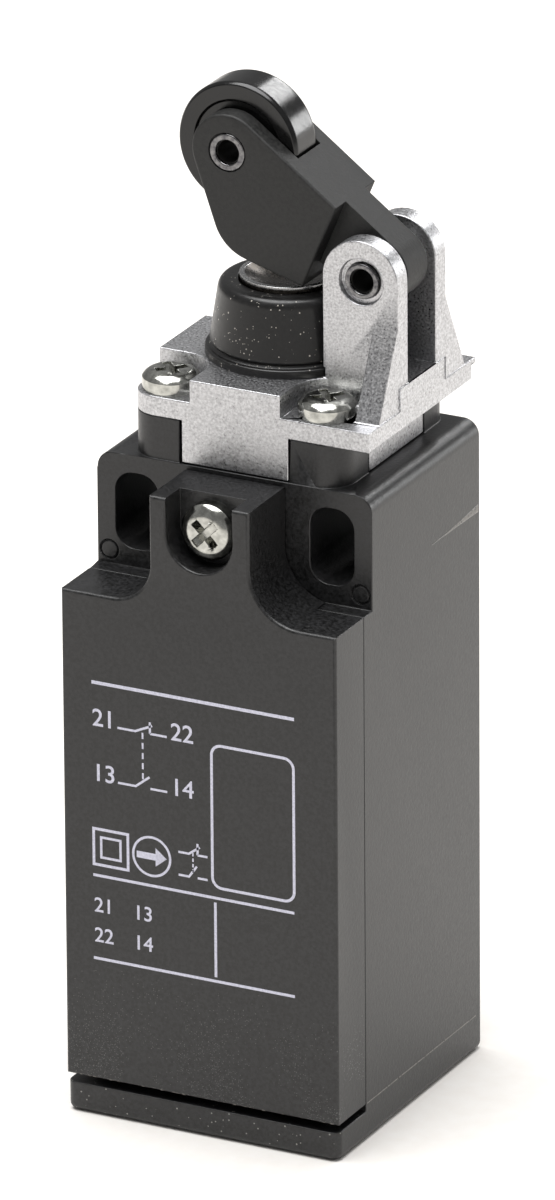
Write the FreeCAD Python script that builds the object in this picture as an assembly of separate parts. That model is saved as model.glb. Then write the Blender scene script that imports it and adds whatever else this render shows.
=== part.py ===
"""Plunger limit switch with a one-way roller lever, in millimetres, +Z up.

The origin is the centre of the housing's bottom face. The cover faces -Y, and +X is to
the right of someone who looks at the cover. The body follows the common 31 mm wide
format with two mounting slots 22 mm apart and one M20 conduit entry.
"""
import FreeCAD, Part
import math
import os

from FreeCAD import Vector

# ---------------------------------------------------------------- driving dimensions
# Body
body_width = 31.0
body_depth = 33.0
body_height = 69.4          # bottom face to the top of the plastic housing
wall = 2.2
flange_height = 3.2         # foot of the housing, below the cover
cover_slit = 0.85           # gap between foot and cover, where the cover pivots
cover_depth = 6.3           # how far the cover wraps back round the sides
plate_setback = 8.2         # cover face to the flat plate that holds the slots
shoulder_drop = 12.15       # cover's two shoulders below the housing top
top_edge_radius = 1.8
foot_edge_radius = 1.0
corner_radius = 0.7
cover_edge_radius = 0.35
seat_gap = 0.1              # clearance between parts that only just don't touch
hole_spare = 0.3            # blind holes run this far past a screw's tip

# Cover neck and its screw
neck_width = 11.2
neck_shift = 0.2            # the neck sits this far to the right of the middle
neck_top_drop = 0.4         # neck top below the housing top
shoulder_fillet_left = 4.2
shoulder_fillet_right = 5.6
recess_width = 7.5
recess_depth = 3.3
cover_screw_drop = 4.1      # screw axis below the housing top
cover_screw_length = 10.0
gasket_width = 1.2
gasket_depth = 1.0

# Mounting slots
slot_spacing = 22.0
slot_width = 4.9
slot_height = 8.2
slot_top_drop = 1.9         # slot top below the housing top
slot_corner_radius = 2.1
ejector_mark_radius = 1.05
ejector_mark_inset = 1.3    # mark's centre from the side
ejector_mark_rise = 1.55    # mark's centre above the shoulder
ejector_mark_line = 0.14

# Conduit entry
conduit_radius = 9.25       # minor radius of an M20 x 1.5 thread
conduit_length = 9.0
conduit_setback = 19.6      # cover face to the entry's axis
conduit_chamfer = 0.8

# Screws (M3 pan head, cross recess)
screw_radius = 1.5
thread_gap = 0.05           # radial clearance that stands for a thread
through_gap = 0.2           # radial clearance of a hole that a screw only passes through
screw_head_radius = 3.0
screw_head_height = 2.0
screw_head_crown = 0.75     # rounded part of the head's height
recess_blade = 0.85
recess_span = 3.3
recess_sink = 1.25
recess_taper = 0.56         # floor of the cross recess, as a share of its mouth

# Head casting
head_setback = 20.55        # cover face to the plunger's axis
post_outer = 12.1           # corner posts of the housing, measured from the plunger axis
post_height = 4.6
post_radius = 3.0
plate_thickness = 2.1
plate_overhang = 2.95       # the plate runs this far past the posts, under the ears
plate_corner_radius = 1.3
cross_thickness = 2.4       # raised cross on top of the plate
cross_half_width = 5.1
tongue_half_width = 6.0
tongue_gap = 0.25           # casting's tongues to the posts beside them
pocket_radius = 3.75        # hollow in the cross round each screw head
head_screw_inset = 3.3      # screw axis from the posts' outer faces
head_screw_length = 8.0
head_gasket_inset = 0.4     # from the casting's lower bore to the ring
head_gasket_width = 1.6
head_gasket_thickness = 0.6

# Ears of the clevis
pivot_offset = 10.9         # plunger axis to lever pivot, along X
pivot_height = 20.0         # housing top to lever pivot
ear_gap = 6.3
ear_thickness = 2.3
ear_left_reach = 4.3
ear_right_reach = 4.1
ear_radius = 4.3
rib_width = 2.7
rib_rise = 8.8              # plate top to the rib's upper end
rib_foot = 4.3              # how far the rib's foot runs out from the ear
counterbore_step = 0.575    # counterbore round the pivot rivet
counterbore_depth = 0.6

# Plunger, bush, boot
plunger_radius = 4.0
plunger_cap_lip = 0.9       # cap beyond the stem
plunger_cap_height = 2.6
plunger_rise = 17.6         # housing top to the plunger's rim
plunger_tail = 1.4          # the plunger's lower end, below the housing top
dish_rim = 0.45             # bright rim round the dish
dish_depth = 1.1
dish_flat = 0.5
running_gap = 0.05          # radial clearance of every running fit
bush_wall = 1.45
bush_stand = 2.0            # bush above the casting
bush_length = 8.5
lower_bore_step = 0.5       # casting's lower bore beyond the bush
channel_step = 0.2          # housing's bore beyond the casting's
clip_thickness = 0.8
clip_lip = 1.2              # clip beyond the stem
clip_groove = 0.6
clip_gap = 0.05             # up and down, each side of the clip
clip_mouth = 0.7            # half of the clip's mouth, as a share of the stem's radius
boot_collar_step = 0.5      # collar beyond the cone's foot
boot_collar_height = 0.9
boot_base_step = 2.5        # cone's foot beyond the bush
boot_top_step = 2.1         # cone's top beyond the plunger's cap
boot_groove = 0.25          # small groove between collar and cone
boot_top_drop = 0.6         # boot top below the plunger's rim
boot_edge_radius = 0.9
boot_wall = 1.2
boot_bead_height = 1.5
boot_lip_height = 1.2
boot_gap = 0.2              # relief in the casting round the boot
spring_stand_off = 0.7      # middle of the wire beyond the stem
spring_wire_radius = 0.3
plunger_spring_turns = 3.5

# Lever and roller
lever_reach = 18.95         # pivot to roller axis
lever_angle = 144.4         # direction from pivot to roller, from +X towards +Z
lever_travel = 25.0         # degrees from rest to fully pressed
fork_width = 9.14
hub_width = 4.4
hub_radius = 3.66
boss_radius = 4.0
fork_shoulder = 6.8         # pivot to the fork's square shoulder, along the lever's top
nose_offset = 7.07          # pivot to the lever's nose, towards the plunger
nose_drop = 2.0             # nose below the pivot
nose_gap = 0.4              # nose above the plunger's rim at rest
belly_angle = 163.8         # direction of the flat underside, from +X
belly_radius = 5.0
flank_angle = 199.0         # where the boss runs into the fork's outer flank
roller_radius = 6.5
roller_width = 4.7
roller_step_rim = 1.8       # rim of each face outside its step
roller_step = 0.3
roller_step_slope = 0.15
roller_side_gap = 0.125     # roller face to the fork's cheek
roller_chamfer = 0.35
roller_slot_gap = 0.45
pin_radius = 1.875
pin_wall = 0.575
pin_tip = 0.15              # small chamfer at a rivet's ends
pin_recess = 0.1            # pivot rivet's ends below the ears' faces
pin_flare = 0.25            # length of the rolled end
roller_pin_lip = 0.1        # how far the rolled end stands out
flare_gap = 0.1             # round the rolled end
lever_edge_radius = 0.3
washer_radius = 3.0
washer_gap = 0.06

# Contact block
block_side_gap = 0.7        # block to the housing's side walls
block_height = 30.0
block_roof_gap = 1.05       # block's top to the housing's roof
block_front = 13.8          # cover face to the front of the block's base
block_back = 27.5
block_wall = 1.7
lid_thickness = 1.5
carrier_width = 6.0
carrier_depth = 8.0
carrier_rise = 8.0          # block's underside to the carrier's lower end
carrier_gap = 0.3
plunger_travel = 3.6
bridge_half_length = 8.4
bridge_width = 3.6
bridge_thickness = 0.6
bridge_corner_radius = 1.08
bridge_side_gap = 0.2
nc_bridge_rise = 22.0       # block's underside to the bridges
no_bridge_rise = 14.0
contact_offset = 7.2
contact_radius = 1.1
contact_height = 0.5
contact_gap = 0.05          # closed contact, face to face
open_contact_spare = 0.15   # what is left of the open contact's gap at full travel
terminal_thickness = 0.8
terminal_width = 4.4
terminal_tab_width = 5.6
terminal_tab_rise = 5.4
terminal_screw_rise = 2.7
terminal_screw_length = 5.0
terminal_slot_gap = 0.2
strip_end = 1.0             # strip beyond its fixed contact
clamp_size = 5.4
block_screw_radius = 1.25   # M2.5
block_screw_inset = 2.0     # screw axis from the block's side
block_screw_length = 18.0
block_screw_rise = 16.5     # block's underside to its two screws
base_boss_radius = 2.0
housing_boss_radius = 2.2
nc_window_height = 4.2
no_window_height = 3.15
contact_spring_radius = 1.5
contact_spring_wire = 0.22
nc_spring_turns = 4
no_spring_turns = 3
return_spring_radius = 2.4
return_spring_wire = 0.35
return_spring_turns = 4

# ---------------------------------------------------------------- worked-out places
half_width = body_width / 2
shoulder_height = body_height - shoulder_drop
screw_hole_radius = screw_radius + thread_gap
front = -body_depth / 2
back = body_depth / 2
rim = front + cover_depth
plate = front + plate_setback
head_y = front + head_setback
cover_bottom = flange_height + cover_slit
post_inner = tongue_half_width + tongue_gap
head_screw_offset = post_outer - head_screw_inset
post_top = body_height + post_height
plate_top = post_top + plate_thickness
cross_top = plate_top + cross_thickness
pivot = Vector(pivot_offset, head_y, body_height + pivot_height)
lever_dir = Vector(math.cos(math.radians(lever_angle)), 0, math.sin(math.radians(lever_angle)))
lever_up = Vector(lever_dir.z, 0, -lever_dir.x)
roller_axis = pivot + lever_dir * lever_reach
top_lean = math.asin((boss_radius - hub_radius) / lever_reach)
top_normal = lever_up * math.cos(top_lean) - lever_dir * math.sin(top_lean)
top_dir = lever_dir * math.cos(top_lean) + lever_up * math.sin(top_lean)
plunger_top = body_height + plunger_rise
plunger_cap_radius = plunger_radius + plunger_cap_lip
dish_radius = plunger_cap_radius - dish_rim
clip_radius = plunger_radius + clip_lip
spring_coil_radius = plunger_radius + spring_stand_off
bush_radius = plunger_radius + running_gap + bush_wall
lower_bore_radius = bush_radius + lower_bore_step
head_gasket_inner = lower_bore_radius + head_gasket_inset
head_gasket_outer = head_gasket_inner + head_gasket_width
boot_base_radius = bush_radius + boot_base_step
boot_collar_radius = boot_base_radius + boot_collar_step
boot_top_radius = plunger_cap_radius + boot_top_step
plunger_bottom = body_height - plunger_tail
cap_bottom = plunger_top - plunger_cap_height
bush_top = cross_top + bush_stand
bush_bottom = bush_top - bush_length
screw_z = body_height - cover_screw_drop
recess_floor = front + recess_depth
roof = shoulder_height - wall
block_half_width = half_width - wall - block_side_gap
block_screw_offset = block_half_width - block_screw_inset
block_top = roof - block_roof_gap
block_bottom = block_top - block_height
carrier_bottom = block_bottom + carrier_rise
nc_bridge_height = block_bottom + nc_bridge_rise
no_bridge_height = block_bottom + no_bridge_rise
block_y0 = front + block_front
block_y1 = front + block_back
lid_y = block_y0 - lid_thickness
slot_top = body_height - slot_top_drop
slot_bottom = slot_top - slot_height
channel_radius = lower_bore_radius + channel_step
slot_gap_width = roller_width + 2 * roller_side_gap
roller_step_radius = roller_radius - roller_step_rim
pin_bore_radius = pin_radius - pin_wall
counterbore_radius = pin_radius + counterbore_step
head_screw_places = [(sx * head_screw_offset, head_y + sy * head_screw_offset)
                     for sx in (-1, 1) for sy in (-1, 1)]

X = Vector(1, 0, 0)
Y = Vector(0, 1, 0)
Z = Vector(0, 0, 1)
parts = {}


# ---------------------------------------------------------------- helpers
def box(x0, x1, y0, y1, z0, z1):
    """A block between two corners."""
    return Part.makeBox(x1 - x0, y1 - y0, z1 - z0, Vector(x0, y0, z0))


def rod(radius, start, end):
    """A round bar between two points."""
    return Part.makeCylinder(radius, (end - start).Length, start, end - start)


def tube(outer, inner, start, end):
    """A round bar with a bore."""
    return rod(outer, start, end).cut(rod(inner, start, end))


def fuse(first, *others):
    """One clean solid from overlapping ones."""
    return first.multiFuse(list(others)).removeSplitter()


def round_edges(solid, radius, wanted):
    """Fillet the edges for which wanted(edge) is true."""
    edges = [edge for edge in solid.Edges if wanted(edge)]
    return solid.makeFillet(radius, edges) if edges and radius > 0 else solid


def runs_along(edge, axis):
    """True for a straight edge parallel to an axis."""
    if not isinstance(edge.Curve, Part.Line):
        return False
    return abs(abs(edge.tangentAt(edge.FirstParameter).dot(axis)) - 1) < 1e-6


def near(value, *targets):
    """True when a value is one of the targets, to a thousandth."""
    return any(abs(value - target) < 1e-3 for target in targets)


def middle(edge):
    """Centre of an edge's box."""
    return edge.BoundBox.Center


def outline(points):
    """Closed face in the XZ plane. A point is (x, z); an arc is ((x, z) on it, (x, z) end)."""
    def place(pair):
        return Vector(pair[0], 0, pair[1])
    edges = []
    here = place(points[0])
    for item in list(points[1:]) + [points[0]]:
        if isinstance(item[0], tuple):
            there = place(item[1])
            edges.append(Part.Arc(here, place(item[0]), there).toShape())
        else:
            there = place(item)
            if (there - here).Length < 1e-6:
                continue
            edges.append(Part.LineSegment(here, there).toShape())
        here = there
    return Part.Face(Part.Wire(edges))


def turned(points, base=Vector(0, 0, 0), direction=Vector(0, 0, 1)):
    """Spin a closed (radius, height) outline once, then stand it on base along direction."""
    solid = outline(points).revolve(Vector(0, 0, 0), Z, 360)
    solid.rotate(Vector(0, 0, 0), *axis_turn(direction))
    solid.translate(base)
    return solid


def axis_turn(direction):
    """Rotation axis and angle that take +Z to a direction."""
    turn = FreeCAD.Rotation(Z, direction)
    return turn.Axis, math.degrees(turn.Angle)


def slab(points, y0, y1):
    """A flat XZ outline carried from y0 to y1."""
    face = outline(points)
    face.translate(Vector(0, y0, 0))
    return face.extrude(Vector(0, y1 - y0, 0))


def on_arc(centre, radius, degrees):
    """Point of a circle in the XZ plane, counted from +X towards +Z."""
    turn = math.radians(degrees)
    return (centre[0] + radius * math.cos(turn), centre[1] + radius * math.sin(turn))


def coil(radius, wire, z0, z1, turns, x=0.0, y=0.0):
    """A compression spring of eight-sided wire that fills z0 to z1."""
    rise = z1 - z0 - 2 * wire
    path = Part.makeHelix(rise / turns, rise, radius)
    corners = [on_arc((radius, 0), wire, 45 * i + 22.5) for i in range(8)]
    points = [Vector(px, 0, pz) for px, pz in corners]
    section = Part.makePolygon(points + points[:1])
    spring = Part.Wire(path.Edges).makePipeShell([section], True, True)
    spring.translate(Vector(x, y, z0 + wire))
    return spring


def pan_screw(seat, outward, length, radius=screw_radius):
    """Cross-recessed pan-head screw. seat is the middle of the head's underside, and
    outward points from there to the head's top. The head grows with the radius."""
    scale = radius / screw_radius
    tip = radius * 0.25
    wide = screw_head_radius * scale
    high = screw_head_height * scale
    crown = screw_head_crown * scale
    bulge = (wide * 0.84, high - crown * 0.34)
    screw = turned([(0, -length), (radius - tip, -length), (radius, tip - length),
                    (radius, 0), (wide, 0), (wide, high - crown),
                    (bulge, (wide * 0.4, high)), (0, high)])
    span = recess_span * scale / 2
    blade_half = recess_blade * scale / 2
    foot = high - recess_sink * scale
    for angle in (45, 135):
        blade = slab([(-span, high + 0.1), (-span, high - 0.2), (-span * 0.56, foot),
                      (span * 0.56, foot), (span, high - 0.2), (span, high + 0.1)],
                     -blade_half, blade_half)
        blade.rotate(Vector(0, 0, 0), Z, angle)
        screw = screw.cut(blade)
    screw.rotate(Vector(0, 0, 0), *axis_turn(outward))
    screw.translate(seat)
    return screw


# ---------------------------------------------------------------- housing
def post(sx, sy):
    """One of the four upright corner posts, its outer corner rounded."""
    x0, x1 = sorted((sx * post_inner, sx * post_outer))
    y0, y1 = sorted((head_y + sy * post_inner, head_y + sy * post_outer))
    block = box(x0, x1, y0, y1, body_height - 1.0, post_top)
    return round_edges(block, post_radius, lambda e: runs_along(e, Z)
                       and near(middle(e).x, sx * post_outer)
                       and near(middle(e).y, head_y + sy * post_outer))


def mounting_slot(side, y0, y1):
    """Upright slot with rounded corners, right through the body along Y."""
    x0 = side * slot_spacing / 2 - slot_width / 2
    block = box(x0, x0 + slot_width, y0, y1, slot_bottom, slot_top)
    return round_edges(block, slot_corner_radius, lambda e: runs_along(e, Y))


def housing():
    """Back shell with the foot, the slot plate, the corner posts and the conduit entry."""
    foot = box(-half_width, half_width, front, rim + 1, 0, flange_height)
    shell = box(-half_width, half_width, rim, back, 0, shoulder_height)
    upper = box(-half_width, half_width, plate, back, shoulder_height - 1, body_height)
    body = fuse(shell, upper, foot)
    body = round_edges(body, top_edge_radius, lambda e: runs_along(e, Y)
                       and near(middle(e).z, body_height))
    body = round_edges(body, corner_radius, lambda e: runs_along(e, Z)
                       and near(middle(e).y, back))
    body = round_edges(body, foot_edge_radius, lambda e: runs_along(e, Z)
                       and near(middle(e).y, front))
    body = round_edges(body, foot_edge_radius * 0.8, lambda e: near(e.BoundBox.ZMax, 0.0))
    cavity = box(-half_width + wall, half_width - wall, rim - 1, back - wall,
                 conduit_length, roof)
    cavity = round_edges(cavity, wall / 2, lambda e: runs_along(e, Y))
    body = body.cut(cavity)
    entry = Vector(0, front + conduit_setback, 0)
    body = body.cut(rod(conduit_radius, entry - Z, entry + Z * (conduit_length + 1)))
    body = body.cut(Part.makeCone(conduit_radius + conduit_chamfer, conduit_radius,
                                  conduit_chamfer, entry))
    well = Vector(0, head_y, 0)
    body = body.cut(rod(channel_radius, well + Z * (roof - 1), well + Z * (body_height + 1)))
    for side in (-1, 1):
        body = body.cut(mounting_slot(side, plate - 1, back + 1))
        mark = Vector(side * (half_width - ejector_mark_inset), plate,
                      shoulder_height + ejector_mark_rise)
        body = body.cut(tube(ejector_mark_radius, ejector_mark_radius - ejector_mark_line,
                             mark, mark + Y * ejector_mark_line))
    for side in (-1, 1):
        boss = Vector(side * block_screw_offset, block_y1, block_bottom + block_screw_rise)
        length = back - wall - block_y1
        body = fuse(body, rod(housing_boss_radius, boss, boss + Y * (length + 0.5)))
        body = body.cut(rod(block_screw_radius + thread_gap, boss - Y,
                            boss + Y * (length + 1.5)))
    body = fuse(body, *[post(sx, sy) for sx in (-1, 1) for sy in (-1, 1)])
    hole_bottom = plate_top - head_screw_length - seat_gap
    for x, y in head_screw_places:
        body = body.cut(rod(screw_hole_radius, Vector(x, y, hole_bottom),
                            Vector(x, y, post_top + 1)))
    tip = Vector(neck_shift, recess_floor + cover_screw_length + hole_spare, screw_z)
    return body.cut(rod(screw_hole_radius, Vector(neck_shift, plate - 1, screw_z), tip))


# ---------------------------------------------------------------- cover
def cover_outline():
    """Front view of the cover: a plate with a neck between two hollow shoulders."""
    left = neck_shift - neck_width / 2
    right = neck_shift + neck_width / 2
    side = half_width
    ledge = shoulder_height
    top = body_height - neck_top_drop
    rl = shoulder_fillet_left
    rr = shoulder_fillet_right
    right_centre = (right + rr, ledge + rr)
    left_centre = (left - rl, ledge + rl)
    return [(-side, cover_bottom), (side, cover_bottom), (side, ledge),
            (right + rr, ledge), (on_arc(right_centre, rr, 225), (right, ledge + rr)),
            (right, top), (left, top), (left, ledge + rl),
            (on_arc(left_centre, rl, 315), (left - rl, ledge)), (-side, ledge)]


def cover():
    """Front shell: flat face, rim that wraps round the sides, neck with the screw recess."""
    shell = slab(cover_outline(), front, rim - seat_gap)
    neck = slab(cover_outline(), front, plate - seat_gap)
    neck = neck.common(box(-half_width, half_width, front - 1, back,
                           shoulder_height + seat_gap, body_height + 1))
    shell = fuse(shell, neck)
    shell = round_edges(shell, cover_edge_radius, lambda e: near(e.BoundBox.YMax, front))
    hollow = box(-half_width + wall, half_width - wall, front + wall, rim + 1,
                 cover_bottom + wall, roof)
    shell = shell.cut(round_edges(hollow, wall / 2, lambda e: runs_along(e, Y)))
    recess_x = neck_shift
    half = recess_width / 2
    low = Vector(recess_x, front - 1, screw_z)
    recess = fuse(rod(half, low, low + Y * (recess_depth + 1)),
                  box(recess_x - half, recess_x + half, front - 1, recess_floor,
                      screw_z, body_height + 1))
    shell = shell.cut(recess)
    shell = shell.cut(rod(screw_radius + through_gap, low, Vector(recess_x, plate + 1, screw_z)))
    return shell.cut(gasket_ring(seat_gap))


def gasket_ring(stand):
    """Rectangular sealing ring that follows the middle of the rim."""
    middle_line = wall / 2
    y0 = rim - seat_gap - gasket_depth
    y1 = rim - seat_gap + stand * 0.5
    x1 = half_width - middle_line + gasket_width / 2
    x0 = x1 - gasket_width
    z_low = cover_bottom + middle_line - gasket_width / 2
    z_high = shoulder_height - middle_line + gasket_width / 2
    outer = box(-x1, x1, y0, y1, z_low, z_high)
    inner = box(-x0, x0, y0 - 1, y1 + 1, z_low + gasket_width, z_high - gasket_width)
    outer = round_edges(outer, gasket_width, lambda e: runs_along(e, Y))
    return outer.cut(inner)


# ---------------------------------------------------------------- head
def head_body():
    """Zinc casting: plus-shaped root between the posts, plate, raised cross and two ears."""
    left = -post_outer
    right = post_outer + plate_overhang
    y0 = head_y - post_outer
    y1 = head_y + post_outer
    skirt = body_height + seat_gap
    root = fuse(box(-tongue_half_width, tongue_half_width, y0, y1, skirt, plate_top),
                box(left, post_outer, head_y - tongue_half_width, head_y + tongue_half_width,
                    skirt, plate_top))
    flat = box(left, right, y0, y1, post_top, plate_top)
    flat = round_edges(flat, post_radius, lambda e: runs_along(e, Z) and near(middle(e).x, left))
    flat = round_edges(flat, plate_corner_radius, lambda e: runs_along(e, Z) and near(middle(e).x, right)
                       and near(middle(e).y, y1))
    raised = box(left, right, y0, y1, plate_top - 0.5, cross_top)
    raised = round_edges(raised, post_radius, lambda e: runs_along(e, Z)
                         and near(middle(e).x, left))
    for sx in (-1, 1):
        for sy in (-1, 1):
            raised = raised.cut(pocket(sx, sy))
    casting = fuse(root, flat, raised, ear(-1), ear(1))
    axis = Vector(0, head_y, 0)
    casting = casting.cut(rod(bush_radius, axis + Z * skirt, axis + Z * (cross_top + 1)))
    casting = casting.cut(rod(lower_bore_radius, axis + Z * (skirt - 1), axis + Z * bush_bottom))
    casting = casting.cut(gasket_groove())
    casting = casting.cut(rod(boot_collar_radius + boot_gap, axis + Z * cross_top,
                              axis + Z * (cross_top + boot_collar_height + boot_gap)))
    casting = casting.cut(Part.makeCone(boot_base_radius + boot_gap, boot_top_radius + boot_gap,
                                        plunger_top - cross_top, axis + Z * cross_top))
    for x, y in head_screw_places:
        casting = casting.cut(rod(screw_radius + through_gap, Vector(x, y, skirt - 1),
                                  Vector(x, y, plate_top + 0.01)))
    mouth = pivot - Y * (ear_gap / 2 + ear_thickness + 1)
    casting = casting.cut(rod(pin_radius, mouth, mouth + Y * (ear_gap + 2 * ear_thickness + 2)))
    for side in (-1, 1):
        outer = pivot + Y * side * (ear_gap / 2 + ear_thickness)
        casting = casting.cut(rod(counterbore_radius, outer - Y * side * counterbore_depth,
                                  outer + Y * side))
    return casting


def pocket(sx, sy):
    """Corner cleared out of the raised cross for a screw head, with a hollow inner corner."""
    reach = 40.0
    x_edge = sx * cross_half_width
    y_edge = head_y + sy * cross_half_width
    x0, x1 = sorted((x_edge, sx * reach))
    y0, y1 = sorted((y_edge, head_y + sy * reach))
    block = box(x0, x1, y0, y1, plate_top, cross_top + 1)
    block = round_edges(block, pocket_radius, lambda e: runs_along(e, Z)
                        and near(middle(e).x, x_edge) and near(middle(e).y, y_edge))
    return block


def ear(side):
    """One clevis ear with its outside rib."""
    y_in = head_y + side * ear_gap / 2
    y_out = y_in + side * ear_thickness
    x0 = pivot.x - ear_left_reach
    x1 = pivot.x + ear_right_reach
    z = pivot.z
    plate_outline = [(x0, plate_top - 0.5), (x1, plate_top - 0.5), (x1, z),
                     (on_arc((pivot.x, z), ear_radius, 90), (x0, z))]
    blade = slab(plate_outline, min(y_in, y_out), max(y_in, y_out))
    foot_y = y_out + side * rib_foot
    rise = [Vector(x1 - rib_width, y_out - side, plate_top - 0.5),
            Vector(x1 - rib_width, foot_y, plate_top - 0.5),
            Vector(x1 - rib_width, foot_y, plate_top),
            Vector(x1 - rib_width, y_out, plate_top + rib_rise),
            Vector(x1 - rib_width, y_out - side, plate_top + rib_rise)]
    rib = Part.Face(Part.makePolygon(rise + rise[:1])).extrude(X * rib_width)
    return fuse(blade, rib)


def gasket_groove():
    """Ring groove in the underside of the casting."""
    axis = Vector(0, head_y, body_height)
    return tube(head_gasket_outer, head_gasket_inner, axis, axis + Z * head_gasket_thickness)


def bush():
    """Sintered guide bush, pressed into the casting and standing proud inside the boot."""
    axis = Vector(0, head_y, 0)
    return tube(bush_radius, plunger_radius + running_gap, axis + Z * bush_bottom,
                axis + Z * bush_top)


def plunger():
    """Steel plunger with a dished cap and a groove for its clip."""
    r = plunger_radius
    cap = plunger_cap_radius
    top = plunger_top
    bowl_radius = (dish_radius ** 2 + dish_depth ** 2) / (2 * dish_depth)
    floor_z = top - dish_depth
    clip_z = bush_bottom - clip_thickness - 2 * clip_gap
    groove = r - clip_groove
    bowl = (dish_radius / 2,
            floor_z + bowl_radius - math.sqrt(bowl_radius ** 2 - dish_radius ** 2 / 4))
    points = [(0, plunger_bottom), (r - 0.4, plunger_bottom), (r, plunger_bottom + 0.4),
              (r, clip_z), (groove, clip_z), (groove, clip_z + clip_thickness + clip_gap),
              (r, clip_z + clip_thickness + clip_gap), (r, cap_bottom), (cap, cap_bottom),
              (cap, top - 0.2), (cap - 0.2, top), (dish_radius, top),
              (bowl, (dish_flat, floor_z)), (0, floor_z)]
    return turned(points, Vector(0, head_y, 0))


def plunger_clip():
    """Open retaining ring in the plunger's groove, under the bush."""
    clip_z = bush_bottom - clip_thickness - 1.5 * clip_gap
    axis = Vector(0, head_y, clip_z)
    ring = tube(clip_radius, plunger_radius - clip_groove + clip_gap, axis, axis + Z * clip_thickness)
    half = plunger_radius * clip_mouth
    mouth = box(0, clip_radius + 1, head_y - half, head_y + half,
                clip_z - 1, clip_z + clip_thickness + 1)
    return ring.cut(mouth)


def boot():
    """Rubber boot: collar on the casting, tapered skirt, lip that grips the plunger's cap."""
    z0 = cross_top
    z1 = z0 + boot_collar_height
    top = plunger_top - boot_top_drop
    lip = top - boot_lip_height
    bead = z0 + boot_bead_height
    inner = bush_radius + running_gap
    grip = plunger_cap_radius + running_gap
    base_wall = boot_base_radius - boot_wall
    top_wall = boot_top_radius - boot_wall
    edge = boot_edge_radius
    knee = (boot_top_radius - edge * 0.28, top - edge * 0.3)
    groove = boot_groove
    points = [(inner, z0), (boot_collar_radius, z0), (boot_collar_radius, z1 - groove),
              (boot_collar_radius - groove, z1), (boot_base_radius + groove / 5, z1),
              (boot_base_radius - groove, z1 + groove), (boot_base_radius, z1 + 2 * groove),
              (boot_top_radius, top - edge), (knee, (boot_top_radius - edge, top)),
              (grip, top), (grip, lip), (top_wall, lip), (base_wall, bead), (inner, bead)]
    return turned(points, Vector(0, head_y, 0))


# ---------------------------------------------------------------- lever and roller
def along_lever(distance, offset):
    """(x, z) at a distance from the pivot along the lever's top and an offset across it."""
    spot = pivot + top_dir * distance + top_normal * offset
    return (spot.x, spot.z)


def crossing(a, a_angle, b, b_angle):
    """Where two lines meet, each a point and a direction in degrees from +X towards +Z."""
    ua, wa = math.cos(math.radians(a_angle)), math.sin(math.radians(a_angle))
    ub, wb = math.cos(math.radians(b_angle)), math.sin(math.radians(b_angle))
    across = ua * wb - wa * ub
    along = ((b[0] - a[0]) * wb - (b[1] - a[1]) * ub) / across
    return (a[0] + along * ua, a[1] + along * wa)


def rounded_corner(before, corner, after, radius):
    """Tangent points and middle of the arc that rounds a corner between two lines."""
    tip = Vector(corner[0], 0, corner[1])
    to_before = (Vector(before[0], 0, before[1]) - tip).normalize()
    to_after = (Vector(after[0], 0, after[1]) - tip).normalize()
    half_angle = to_before.getAngle(to_after) / 2
    run = radius / math.tan(half_angle)
    inward = (to_before + to_after).normalize()
    start = tip + to_before * run
    end = tip + to_after * run
    through = tip + inward * (radius / math.sin(half_angle) - radius)
    return (start.x, start.z), (through.x, through.z), (end.x, end.z)


def fork_outline():
    """Side view of the fork's cheeks: boss, flat top, square shoulder, nose, round belly."""
    centre = (roller_axis.x, roller_axis.z)
    nose = (pivot.x - nose_offset, pivot.z - nose_drop)
    normal_angle = math.degrees(math.atan2(top_normal.z, top_normal.x))
    boss_start = on_arc(centre, boss_radius, normal_angle)
    boss_top = on_arc(centre, boss_radius, (normal_angle + flank_angle) / 2)
    boss_end = on_arc(centre, boss_radius, flank_angle)
    corner = crossing(nose, belly_angle, boss_end, flank_angle + 90)
    flank, swell, keel = rounded_corner(boss_end, corner, nose, belly_radius)
    return [along_lever(fork_shoulder, hub_radius), boss_start, (boss_top, boss_end),
            flank, (swell, keel), nose]


def lever():
    """Moulded lever: hub between the ears, fork with two cheeks round the roller."""
    half = fork_width / 2
    fork = slab(fork_outline(), pivot.y - half, pivot.y + half)
    fork = round_edges(fork, lever_edge_radius, lambda e: near(e.BoundBox.YLength, 0.0))
    y0 = pivot.y - hub_width / 2
    y1 = pivot.y + hub_width / 2
    reach = fork_shoulder + 2.0
    arm = slab([along_lever(0, -hub_radius), along_lever(reach, -hub_radius),
                along_lever(reach, hub_radius), along_lever(0, hub_radius)], y0, y1)
    hub = rod(hub_radius, Vector(pivot.x, y0, pivot.z), Vector(pivot.x, y1, pivot.z))
    arm = arm.fuse(hub)
    body = fuse(fork, arm)
    slot = roller_radius + roller_slot_gap
    cut = rod(slot, roller_axis - Y * slot_gap_width / 2, roller_axis + Y * slot_gap_width / 2)
    body = body.cut(cut)
    body = body.cut(rod(pin_radius + running_gap, pivot - Y * 20, pivot + Y * 20))
    body = body.cut(rod(pin_radius, roller_axis - Y * 20, roller_axis + Y * 20))
    for side in (-1, 1):
        face = roller_axis + Y * side * half
        body = body.cut(rod(pin_radius + roller_pin_lip + flare_gap,
                            face - Y * side * pin_flare, face + Y * side))
    return body


def roller():
    """Hard plastic roller with chamfered rims and a shallow step in each face."""
    half = roller_width / 2
    bore = pin_radius + running_gap
    slope = 2 * roller_chamfer
    step_top = roller_step_radius + roller_step_slope
    points = [(bore, -half + roller_step), (roller_step_radius, -half + roller_step),
              (step_top, -half), (roller_radius - roller_chamfer, -half),
              (roller_radius, -half + slope), (roller_radius, half - slope),
              (roller_radius - roller_chamfer, half), (step_top, half),
              (roller_step_radius, half - roller_step), (bore, half - roller_step)]
    return turned(points, roller_axis, Y)


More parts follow.
